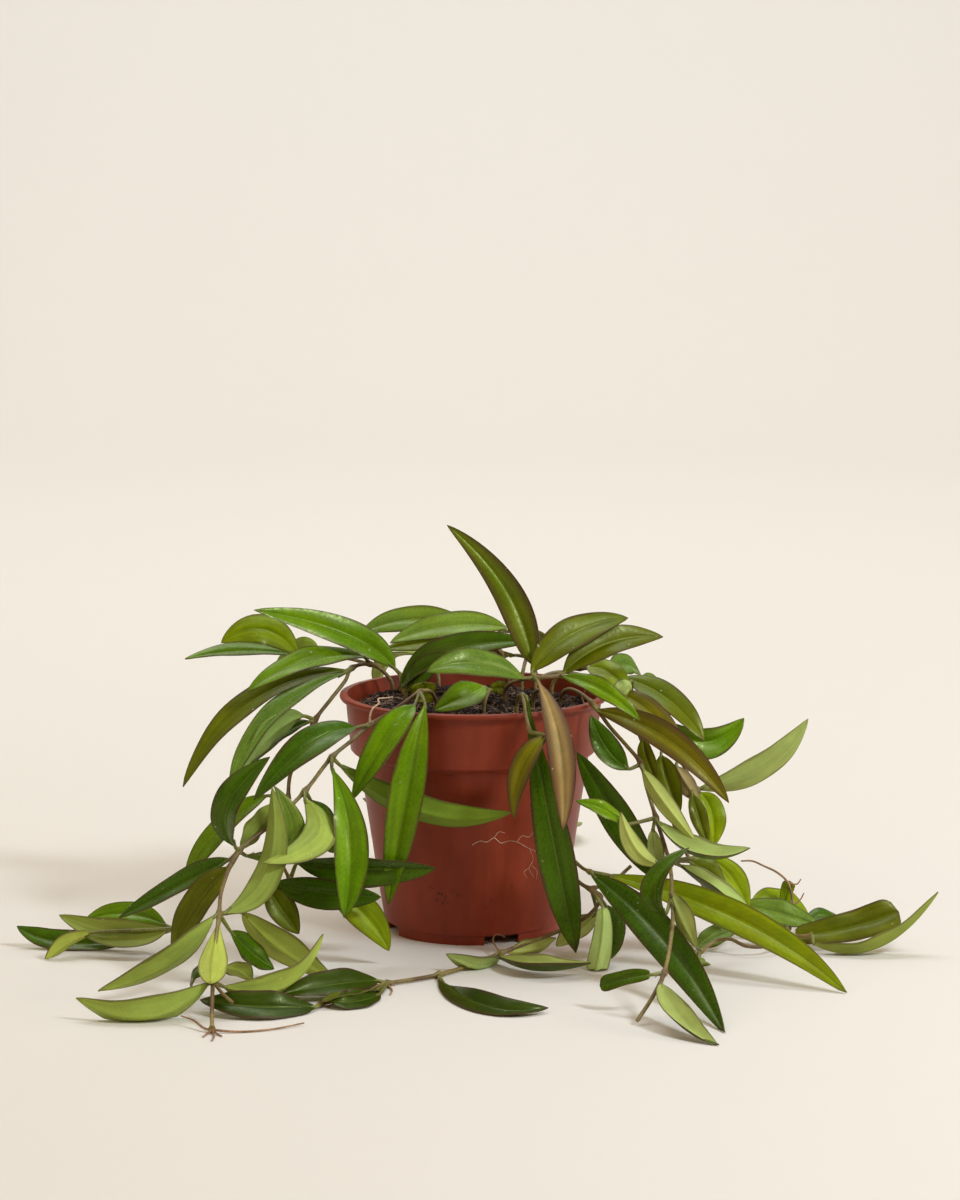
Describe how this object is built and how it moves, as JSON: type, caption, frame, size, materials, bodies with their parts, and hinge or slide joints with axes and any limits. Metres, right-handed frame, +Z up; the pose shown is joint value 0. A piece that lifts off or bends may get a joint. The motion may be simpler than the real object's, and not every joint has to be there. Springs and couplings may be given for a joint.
{
  "type": "potted hoya plant",
  "caption": "Potted trailing plant: a thin plastic nursery pot filled with soil, with leafy stems that arch over the rim and trail on the surface around it.",
  "frame": {"origin": "centre of the pot's foot, on the surface that the plant stands on", "axes": "+Z up along the pot's axis; -Y towards the side where most stems hang, which is the side seen in the picture; +X to the right as seen from that side"},
  "size_m": [0.4051, 0.427, 0.1851],
  "materials": {
    "pot": "thin terracotta-brown nursery-pot plastic with a soft satin sheen",
    "soil": "dark, loose, damp compost of coir and bark fibre",
    "foliage": "waxy green leaves, glossy above and matte yellow-green below, on brownish stems"
  },
  "bodies": {
    "root": {"pot": "pot", "soil": "soil", "stem_left_high": "foliage", "stem_left_front": "foliage", "stem_right_front": "foliage", "stem_right_mid": "foliage", "stem_right_high": "foliage", "stem_right_far": "foliage", "stem_centre": "foliage", "stem_hanging": "foliage", "stem_top": "foliage", "stem_top_back": "foliage", "leaf_on_soil": "foliage", "leaf_stub": "foliage", "stem_back_left": "foliage", "stem_back_right": "foliage"}
  },
  "joints": []
}
